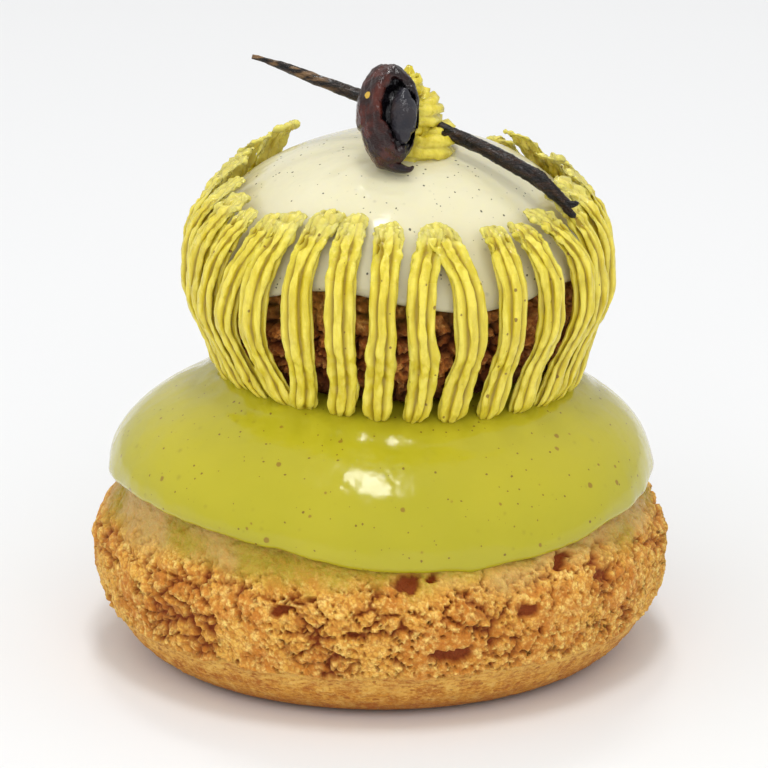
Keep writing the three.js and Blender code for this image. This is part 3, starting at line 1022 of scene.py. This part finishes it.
def hollow_tree():
    """Presses a hollow with a rolled rim into the fruit, and wrinkles its skin."""
    tree, w, given = shape_tree("hollow")
    p, normal = w.surface()

    def tilted(direction, angle):
        return w.put("ShaderNodeVectorRotate", {"Vector": direction, "Angle": angle},
                     rotation_type="X_AXIS").outputs[0]

    local = tilted(w.vector("SUBTRACT", p, (FRUIT["x"], FRUIT["y"], FRUIT["z"])), -lean)
    x, y, z = w.split(local)[:3]
    shake = w.times(w.swing(p, 0.6, 3.0, 0.6), 0.5)
    # the hollow is an upright oval on the side that faces the front
    across = w.math("DIVIDE", w.sum(x, -1.5, w.times(z, 0.14)), 2.45)
    along = w.math("DIVIDE", w.add(z, 0.1), 4.7)
    out = w.add(w.diagonal(across, along), w.times(shake, 1.3))
    front = w.ramp(y, -0.9, -0.2, 1.0, 0.0)
    dent = w.times(w.ramp(out, 0.62, 1.0, 1.0, 0.0), front)
    rim = w.times(w.times(w.ramp(out, 0.94, 1.08), w.ramp(out, 1.12, 1.5, 1.0, 0.0)), front)
    wrinkles = w.swing(w.squash(local, (1.3, 1.0, 0.5)), 0.45, 3.0, 0.6)
    skin = w.add(w.times(wrinkles, 0.9), w.times(rim, 0.3))
    inward = w.scaled(tilted((0.0, 1.0, 0.0), lean), w.times(dent, 2.1 * MM))
    step = w.vector("ADD", inward, w.scaled(normal, w.times(skin, MM)))
    kept = keep_value(w, given[0], "hollow", dent)
    shape_end(w, move(w, kept, step))
    return tree


use_tree(fruit, hollow_tree())
bpy.ops.object.shade_smooth()
print("fruit leans", FRUIT["lean"], "degrees; triangles:", count(fruit))

# %% [markdown]
# ## The kernel and the drip of syrup
#
# The kernel is a plump almond shape, so a sphere is stretched, its ends are drawn in, and
# it is leant with the fruit. Syrup that ran off the fruit has set as a short thread under
# it. Sweeping a nearly round outline along a curve gives that, thick in the middle and
# thin at both ends.

# %% The kernel and the drip of syrup
pick_none()
bpy.ops.mesh.primitive_uv_sphere_add(segments=40, ring_count=28, radius=MM, location=(0, 0, 0))
stone = bpy.context.object
stone.name = stone.data.name = "candied_fruit_kernel"
begin_edit()
bpy.ops.mesh.select_all(action="SELECT")
bpy.ops.transform.resize(value=(1.6, 1.15, 3.5), center_override=(0, 0, 0))
choose(stone, lambda v: abs(v.co.z) > 2.0 * MM)
bpy.ops.transform.resize(value=(0.8, 0.9, 1.02), center_override=(0, 0, 0))
bpy.ops.mesh.select_all(action="SELECT")
bpy.ops.transform.translate(value=(1.85 * MM, -1.6 * MM, -0.4 * MM))
bpy.ops.transform.rotate(value=lean, orient_axis="X", constraint_axis=(True, False, False),
                         center_override=(0, 0, 0))
bpy.ops.transform.translate(value=(FRUIT["x"] * MM, FRUIT["y"] * MM, FRUIT["z"] * MM))
end_edit()
use_tree(stone, ruffle_tree("kernel_skin", 0.8, 0.16, 0.5))
bpy.ops.object.shade_smooth()

round_star = star_outline("round_outline", 5, 0.95)
# x, y, z from the fruit's middle, and half the thread's width, in mm
DRIP = ((-1.5, -2.21, -3.91, 0.5), (-0.8, -2.81, -4.71, 0.8), (0.3, -3.11, -5.21, 0.85),
        (1.4, -3.31, -5.61, 0.65), (2.2, -3.41, -5.81, 0.45), (2.8, -3.41, -5.71, 0.3),
        (3, -3.41, -5.31, 0.14))
drip_line = [(*p, 0) for p in from_middle(DRIP, fruit_at)]
drip = swept("syrup_drip", drip_line, round_star, 8)
print("kernel triangles:", count(stone), "drip:", count(drip))

# %% [markdown]
# ## The vanilla pod
#
# A dried pod is a thin tube that has shrunk into lengthwise ridges, with a bend where it
# was folded and a split at its tip. An uneven star outline, swept along the pod's bends,
# gives the ridges, and noise stretched along the pod gives the shrivelling.

# %% Sweep the pod
pod_at = solid_middle("vanilla_pod")
# x, y, z from the pod's middle, and half its width, in mm
POD = ((-19.68, 7.53, 7.91, 0.28), (-16.58, 6.33, 7.31, 0.5), (-13.18, 5.03, 6.11, 0.66),
       (-9.98, 3.73, 5.21, 0.74), (-6.88, 2.53, 4.31, 0.8), (-1.28, 0.43, 2.61, 0.85),
       (3.92, -1.67, 0.71, 0.84), (6.02, -2.67, -0.09, 0.92), (8.42, -4.07, -0.69, 0.86),
       (11.22, -5.47, -1.99, 1), (13.42, -6.37, -2.99, 0.92), (14.82, -6.87, -3.69, 1.06),
       (15.82, -7.17, -4.79, 0.84), (17.22, -7.37, -5.99, 0.72), (18.42, -7.47, -7.19, 0.66))
# the two halves of the split tip, with a turn as well
PRONG_A = ((17.62, -7.47, -6.49, 0.5, 0), (18.52, -7.57, -6.79, 0.48, 0.3),
           (19.02, -7.67, -6.69, 0.4, 0.5), (19.22, -7.67, -6.29, 0.24, 0.8))
PRONG_B = ((17.82, -7.47, -6.89, 0.5, 0), (18.32, -7.57, -7.69, 0.5, 0.3),
           (18.82, -7.67, -7.99, 0.42, 0.5), (19.12, -7.67, -7.99, 0.26, 0.8))
ridged = star_outline("pod_outline", 5, 0.72)
pod_line = [(*p, 0.25 * i) for i, p in enumerate(from_middle(POD, pod_at))]
main = swept("vanilla_pod_dried", pod_line, ridged, 14)
prong_a = swept("pod_prong_a", from_middle(PRONG_A, pod_at), ridged, 8)
prong_b = swept("pod_prong_b", from_middle(PRONG_B, pod_at), ridged, 8)
pick(main)
prong_a.select_set(True)
prong_b.select_set(True)
bpy.ops.object.join()
pod = bpy.context.object
use_tree(pod, ruffle_tree("shrivelled", 0.55, 0.2, 0.8, (0.5, 1.0, 1.0)))
for helper in (star, round_star, ridged):
    bpy.data.objects.remove(helper)
print("pod triangles:", count(pod))

# %% [markdown]
# ## Finishes: the common moves
#
# A finish here is a material whose patterns are worked out from where a point lies on the
# piece. Object coordinates, brought to millimetres, keep a crumb the same size on a large
# piece and on a small one, and they bake true. The masks that the shape trees left on the
# mesh come in as attributes, so colour follows relief. A picture could be wrapped round
# each piece instead, but it would blur up close and need seams.

# %% Start a finish, read a mask, put a finish on, add a bump
def material(name):
    mat = bpy.data.materials.new(name)
    mat.use_nodes = True
    w = Wires(mat.node_tree)
    shader = mat.node_tree.nodes["Principled BSDF"]
    at = w.scaled(w.put("ShaderNodeTexCoord").outputs["Object"], 1 / MM)
    return mat, w, shader, at


def attribute(w, name):
    return w.put("ShaderNodeAttribute", attribute_name=name).outputs["Fac"]


def wear(piece, mat):
    piece.data.materials.clear()
    piece.data.materials.append(mat)


def fill_in(w, shader, sockets):
    """Sets the shader's own sockets, each to a number or to what a pattern gives."""
    for label, value in sockets.items():
        w.give(shader.inputs[label], value)


def bump(w, shader, height, strength, reach):
    node = w.put("ShaderNodeBump", {"Strength": strength, "Distance": reach, "Height": height})
    w.give(shader.inputs["Normal"], node.outputs[0])


print("ready to mix finishes")

# %% [markdown]
# ## Specks
#
# Ground pistachio in the green icing and the cream, and vanilla seeds in the pale icing,
# are the same thing to a shader: small ragged dots of uneven size, strewn at random. A
# Voronoi texture deals each cell a random colour, which is read as two dice: one says
# whether the cell holds a speck at all, the other how large it is. More than one finish
# uses it, so it is a node group with named sockets.

# %% Speck group
def speck_group():
    tree = bpy.data.node_groups.new("specks", "ShaderNodeTree")
    face = tree.interface
    face.new_socket("Place", in_out="INPUT", socket_type="NodeSocketVector")
    for label, start in (("Cells per mm", 0.5), ("Share", 0.4), ("Size", 0.2), ("Soft", 0.05)):
        socket = face.new_socket(label, in_out="INPUT", socket_type="NodeSocketFloat")
        socket.default_value = start
    face.new_socket("Mask", in_out="OUTPUT", socket_type="NodeSocketFloat")
    w = Wires(tree)
    given = w.put("NodeGroupInput").outputs
    place = w.vector("ADD", given["Place"], w.push(given["Place"], 1.8, 2.0, 0.28))
    cell = w.put("ShaderNodeTexVoronoi", {"Vector": place, "Scale": given["Cells per mm"]})
    dice = w.put("ShaderNodeSeparateColor", {0: cell.outputs["Color"]}).outputs
    there = w.math("LESS_THAN", dice[0], given["Share"])
    reach = w.times(given["Size"], w.add(0.25, w.math("POWER", dice[1], 2.0)))
    gap = w.take(reach, cell.outputs["Distance"])
    spot = w.math("DIVIDE", gap, given["Soft"], clamp=True)
    w.put("NodeGroupOutput", {0: w.times(spot, there)})
    return tree


SPECKS = speck_group()


def specks(w, at, cells, share, size, soft):
    node = w.put("ShaderNodeGroup", node_tree=SPECKS)
    for label, value in (("Place", at), ("Cells per mm", cells), ("Share", share),
                         ("Size", size), ("Soft", soft)):
        w.give(node.inputs[label], value)
    return node.outputs["Mask"]


print("speck group sockets:", [item.name for item in SPECKS.interface.items_tree])

# %% [markdown]
# ## The crusts' finish
#
# Baked sugar dough is gold, with browner patches at random. Its raised crumbs and flake
# edges are painted paler, a painted highlight, and the hollows of its bump, its low parts,
# its cracks and its pits are painted red-brown to nearly black, painted shade. The bare skin
# at the foot is freckled and faintly streaked, with a painted highlight along the ledge
# under the crust, and both buns are painted darker towards the foot, painted shade, the
# small one most, where the strips stand round it. The crust just under the icing is
# soaked and glazed by it. One recipe serves both buns with other colours, the small one
# being darker. A little light is let in under the surface, as it goes into bread.

# %% Finish both crusts
def crust_material(name, pale, golden, brown, dark, skin, skin_dark, skin_pale,
                   sole_z, foot_shade_share):
    mat, w, shader, at = material(name)
    crust, opened, film, high = (attribute(w, n) for n in ("crust", "open", "film", "high"))
    broad = w.noise(at, 0.16, 3.0, 0.6)
    fine = w.noise(at, 1.5, 4.0, 0.65)
    grain = w.noise(at, 4.5, 3.0, 0.65)
    tone = w.blend(w.ramp(broad, 0.38, 0.62), golden, brown)
    # painted highlight: the raised crumbs and the flakes' raised edges, marked by high, are made
    # paler, along with random pale patches from the fine noise
    tone = w.blend(w.ramp(w.add(w.times(high, 0.45), w.times(fine, 0.7)), 0.46, 0.76), tone, pale)
    tone = w.blend(w.times(w.ramp(grain, 0.48, 0.7), 0.4), tone, brown)
    crumbs = w.cells(at, 2.6)
    # painted shade: red-brown in the hollows of the bump, at the edges of the crumb cells
    red_shade = w.blend(0.35, brown, dark)
    tone = w.blend(w.times(w.ramp(crumbs, 0.4, 0.75), 0.55), tone, red_shade)
    # painted shade: red-brown on the low parts, where high is small
    tone = w.blend(w.times(w.ramp(high, 0.3, 0.12), 0.5), tone, red_shade)
    # painted shade: the cracks and pits are made red-brown, and nearly black where they open
    # widest
    tone = w.blend(w.times(w.ramp(opened, 0.03, 0.35), 0.75), tone, w.blend(0.5, brown, dark))
    tone = w.blend(w.ramp(opened, 0.3, 0.85), tone, dark)
    x, y, z = w.split(at)[:3]
    # the film is greener at the front, a little to the left, where most icing ran
    front = w.times(w.ramp(w.math("ABSOLUTE", w.add(x, 7.0)), 5.0, 15.0, 1.0, 0.0),
                    w.math("LESS_THAN", y, 0.0))
    olive = w.ramp(w.add(w.noise(at, 0.09, 2.0, 0.5), w.times(front, 0.2)), 0.42, 0.58)
    soft = w.blend(olive, colour(204, 172, 96), colour(174, 158, 40))
    soft = w.blend(w.times(w.ramp(fine, 0.4, 0.7), 0.4), soft, brown)
    tone = w.blend(w.times(film, 0.86), tone, soft)
    # the skin under the crust: mottled, with darker freckles and pores
    mottle = w.noise(w.squash(at, (1, 1, 1.5)), 0.42, 5.0, 0.68)
    bare = w.blend(w.ramp(mottle, 0.36, 0.56), skin_dark, skin)
    bare = w.blend(w.ramp(mottle, 0.54, 0.68), bare, skin_pale)
    bare = w.blend(w.times(w.ramp(grain, 0.52, 0.68), 0.35), bare, skin_dark)
    seam = w.noise(w.squash(at, (0.35, 0.35, 2.4)), 0.9, 3.0, 0.6)
    bare = w.blend(w.times(w.ramp(seam, 0.56, 0.64), 0.5), bare, skin_dark)
    # painted highlight: the upper part of the bare skin, along the ledge under the crust, is
    # paler
    ledge_highlight = w.ramp(w.add(z, w.times(w.take(mottle, 0.5), 3.0)), sole_z + 3.6, sole_z + 6.0)
    bare = w.blend(w.times(ledge_highlight, w.ramp(seam, 0.6, 0.42, 0.2, 0.7)), bare, skin_pale)
    sandy = w.noise(w.squash(at, (1, 1, 1.7)), 1.7, 4.0, 0.7)
    bare = w.blend(w.times(w.ramp(sandy, 0.5, 0.6), 0.55), bare, skin_pale)
    bare = w.blend(w.times(w.ramp(sandy, 0.46, 0.38), 0.6), bare, skin_dark)
    pores = specks(w, w.squash(at, (0.8, 0.8, 1.5)), 1.2, 0.7, 0.4, 0.14)
    bare = w.blend(w.times(pores, 0.75), bare, w.blend(0.4, skin_dark, dark))
    # painted shade: darker towards the foot, near the table on the large bun and down among the
    # strips' feet on the small one
    foot_shade = w.times(w.ramp(z, sole_z + 0.3, sole_z + 4.0, 1.0, 0.0), foot_shade_share)
    tone = w.blend(crust, bare, tone)
    tone = w.blend(foot_shade, tone, w.blend(0.5, skin_dark, dark))
    fill_in(w, shader, {
        "Base Color": tone,
        "Roughness": w.ramp(film, 0.0, 1.0, 0.72, 0.38),
        "Specular IOR Level": 0.4,
        "Subsurface Weight": 0.18,
        "Subsurface Radius": (1.0, 0.42, 0.12),
        "Subsurface Scale": 0.0007,
    })
    lift = w.sum(w.times(fine, 0.9), w.times(grain, 0.5), w.times(crumbs, -0.25))
    bump(w, shader, lift, 0.85, 0.0003)
    return mat


lower_crust_mat = crust_material(
    "craquelin_golden", pale=colour(254, 218, 122), golden=colour(233, 176, 74),
    brown=colour(206, 130, 42), dark=colour(138, 62, 16), skin=colour(214, 152, 54),
    skin_dark=colour(178, 104, 28), skin_pale=colour(232, 187, 94),
    sole_z=LARGE["foot_z"], foot_shade_share=0.55)
upper_crust_mat = crust_material(
    "craquelin_dark", pale=colour(250, 188, 104), golden=colour(224, 142, 62),
    brown=colour(174, 94, 40), dark=colour(74, 26, 8), skin=colour(160, 92, 40),
    skin_dark=colour(70, 32, 12), skin_pale=colour(190, 120, 60),
    sole_z=SMALL["skin_z"], foot_shade_share=0.9)
wear(lower_bun, lower_crust_mat)
wear(upper_bun, upper_crust_mat)
print("crusts:", lower_crust_mat.name, upper_crust_mat.name)

# %% [markdown]
# ## The icings' finish
#
# Poured fondant is smooth and shiny, and lets light in a short way, which softens its
# lip. It has specks on the surface and blurred ones that lie deeper. The shine is
# low-roughness gloss with a thin clear coat, and a slow, shallow bump makes the
# highlights wander at their edges as they do on a coat that set while it ran.

# %% Finish both icings
def icing_material(name, base, deep, speck_dark, speck_soft, cells, share, size, nuts=None):
    mat, w, shader, at = material(name)
    cloud = w.noise(at, 0.05, 3.0, 0.5)
    tone = w.blend(w.ramp(cloud, 0.3, 0.7), base, deep)
    under = specks(w, w.vector("ADD", at, (13.0, 5.0, 3.0)), cells * 0.7, share * 0.5,
                   size * 1.6, 0.3)
    tone = w.blend(w.times(under, 0.3), tone, speck_soft)
    top = specks(w, at, cells, share, size, 0.06)
    tone = w.blend(w.times(top, 0.85), tone, speck_dark)
    if nuts:
        large = specks(w, w.vector("ADD", at, (3.0, 9.0, 7.0)), 0.55, 0.4, 0.2, 0.07)
        tone = w.blend(w.times(large, 0.7), tone, nuts)
    fill_in(w, shader, {
        "Base Color": tone,
        "Roughness": w.ramp(w.noise(at, 0.5, 2.0, 0.5), 0.3, 0.7, 0.1, 0.2),
        "IOR": 1.38,
        "Coat Weight": 0.28,
        "Coat Roughness": 0.06,
        "Subsurface Weight": 0.25,
        "Subsurface Radius": (1.0, 0.8, 0.25),
        "Subsurface Scale": 0.0016,
    })
    bump(w, shader, w.noise(at, 0.3, 2.0, 0.5), 0.45, 0.0004)
    return mat


wear(lower_icing, icing_material(
    "pistachio_icing", base=colour(183, 173, 36), deep=colour(174, 166, 32),
    speck_dark=colour(112, 78, 24), speck_soft=colour(128, 110, 30), cells=1.3, share=0.5,
    size=0.21, nuts=colour(134, 88, 30)))
wear(upper_icing, icing_material(
    "vanilla_icing", base=colour(226, 220, 187), deep=colour(218, 211, 173),
    speck_dark=colour(34, 28, 22), speck_soft=colour(140, 136, 116), cells=1.3, share=0.75,
    size=0.2))
print("icings:", lower_icing.active_material.name, upper_icing.active_material.name)

# %% [markdown]
# ## The buttercream's finish
#
# Whipped butter and pistachio paste, satin on the body and wet where the nozzle left it
# thin at the top. Its colour is painted deeper and browner in the grooves, painted shade,
# and paler lemon in streaks along the crests, a painted highlight. The ridge value that the
# nozzle ring started with was carried along by every extrusion, so it now tells the
# material where the grooves are.

# %% Finish the strips and the rosette
def cream_material(name):
    mat, w, shader, at = material(name)
    ridge, up = attribute(w, "ridge"), attribute(w, "up")
    streak = w.noise(w.squash(at, (1.0, 1.0, 0.3)), 0.8, 3.0, 0.6)
    # painted shade: the grooves are painted deeper and browner than the ridges
    tone = w.blend(w.ramp(ridge, 0.05, 0.6), colour(160, 134, 22), colour(216, 197, 56))
    # painted highlight: paler lemon streaks along the crests
    crest = w.times(w.ramp(ridge, 0.55, 0.95), w.ramp(streak, 0.35, 0.6))
    tone = w.blend(crest, tone, colour(238, 221, 90))
    patches = w.times(w.ramp(w.noise(at, 0.5, 3.0, 0.6), 0.45, 0.7), 0.3)
    tone = w.blend(patches, tone, colour(186, 164, 36))
    thin = w.ramp(w.add(up, w.times(w.take(streak, 0.5), 0.1)), 0.93, 0.995)
    tone = w.blend(w.times(thin, 0.6), tone, colour(232, 220, 120))
    dots = specks(w, at, 0.95, 0.3, 0.22, 0.07)
    tone = w.blend(w.times(dots, 0.8), tone, colour(116, 78, 26))
    fill_in(w, shader, {
        "Base Color": tone,
        "Roughness": w.ramp(up, 0.74, 0.88, 0.3, 0.1),
        "Subsurface Weight": 0.32,
        "Subsurface Radius": (1.0, 0.85, 0.25),
        "Subsurface Scale": 0.0012,
    })
    lift = w.add(w.noise(at, 2.0, 3.0, 0.6), w.times(w.noise(at, 7.0, 2.0, 0.5), 0.3))
    bump(w, shader, w.times(lift, w.ramp(up, 0.74, 0.88, 0.4, 4.0)), 0.26, 0.00035)
    return mat


cream = cream_material("pistachio_cream")
for piece in (*strips, rosette):
    wear(piece, cream)
print("pieces in cream:", len(strips) + 1)

# %% [markdown]
# ## The syruped fruit and its kernel
#
# Fruit kept in syrup goes from red-brown to nearly black, with a wet skin that catches
# small highlights on its wrinkles, and a fleck of gold leaf. The hollow's mask, and how
# far to the right a point lies, bring in painted shade: the hollow round the kernel and the
# right side of the fruit are painted nearly black, and the kernel's right side darker.

# %% Finish the fruit
def fruit_material(name, lit, deep, inside):
    mat, w, shader, at = material(name)
    tone = w.blend(w.ramp(w.noise(at, 0.4, 3.0, 0.6), 0.36, 0.64), deep, lit)
    # painted shade: darker towards the right side and in the hollow; inside is the colour of that
    # shade
    x = w.add(w.split(at)[0], w.times(w.swing(at, 0.5, 3.0, 0.6), 4.0))
    tone = w.blend(w.times(w.ramp(x, 0.2, 2.6), 0.8), tone, inside)
    tone = w.blend(w.ramp(attribute(w, "hollow"), 0.03, 0.35), tone, inside)
    gold = specks(w, at, 0.6, 0.16, 0.26, 0.05)
    fill_in(w, shader, {
        "Base Color": w.blend(gold, tone, colour(206, 166, 60)),
        "Roughness": w.ramp(w.noise(at, 0.9, 2.0, 0.5), 0.3, 0.7, 0.08, 0.24),
        "Specular IOR Level": 0.35,
        "Coat Weight": 0.3,
        "Coat Roughness": 0.08,
    })
    bump(w, shader, w.noise(at, 1.2, 3.0, 0.6), 0.7, 0.0004)
    return mat


fruit_mat = fruit_material("syruped_fruit", colour(80, 30, 19), colour(36, 13, 10),
                           colour(12, 10, 14))
wear(fruit, fruit_mat)
wear(drip, fruit_mat)
wear(stone, fruit_material("syruped_kernel", colour(72, 60, 56), colour(30, 28, 34),
                           colour(34, 34, 42)))
print("fruit:", fruit_mat.name)

# %% [markdown]
# ## The pod's finish
#
# A dried vanilla pod is nearly black and oily, and brown on its ridges. Towards its thin
# end it is painted tan in streaks, a painted highlight on the flat, dry part. Its noise is
# squashed across the pod, so that the grain runs along it.

# %% Finish the pod and the table
def pod_material(name):
    mat, w, shader, at = material(name)
    along = w.squash(at, (0.35, 1.0, 1.6))
    tone = w.blend(w.ramp(w.noise(along, 1.3, 3.0, 0.6), 0.4, 0.66), colour(12, 8, 6),
                   colour(54, 34, 20))
    x = w.split(at)[0]
    # painted highlight: tan streaks towards the thin end, on the left
    tan = w.times(w.ramp(x, -3.0, -9.0, 0.0, 1.0),
                  w.ramp(w.noise(along, 0.9, 2.0, 0.6), 0.42, 0.6))
    fill_in(w, shader, {
        "Base Color": w.blend(w.times(tan, 0.7), tone, colour(150, 116, 78)),
        "Roughness": w.ramp(w.noise(along, 2.0, 2.0, 0.5), 0.3, 0.7, 0.12, 0.4),
        "Specular IOR Level": 0.4,
        "Coat Weight": 0.12,
        "Coat Roughness": 0.1,
    })
    bump(w, shader, w.noise(along, 3.0, 3.0, 0.65), 0.9, 0.0004)
    return mat


wear(pod, pod_material("dried_vanilla"))
mat, w, shader, at = material("pale_table")
w.give(shader.inputs["Base Color"], w.blend(w.noise(at, 0.004, 2.0, 0.5),
                                            (0.812, 0.817, 0.822, 1), (0.83, 0.835, 0.84, 1)))
shader.inputs["Roughness"].default_value = 0.7
wear(table, mat)
print("materials in all:", len(bpy.data.materials))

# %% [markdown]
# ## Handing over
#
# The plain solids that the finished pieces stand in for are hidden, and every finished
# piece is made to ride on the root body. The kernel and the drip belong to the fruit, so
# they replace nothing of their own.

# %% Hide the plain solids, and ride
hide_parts("lower_bun")
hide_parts("upper_bun")
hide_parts("pistachio_fondant")
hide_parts("vanilla_fondant")
for i, piece in enumerate(strips):
    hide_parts(f"piped_strip_{i + 1:02d}")
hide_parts("pistachio_rosette")
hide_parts("candied_fruit")
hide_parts("vanilla_pod")
handed_over = (lower_bun, upper_bun, lower_icing, upper_icing, *strips, rosette, fruit,
               stone, drip, pod)
for piece in handed_over:
    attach(piece, "root")
print("pieces riding on root:", len(handed_over))
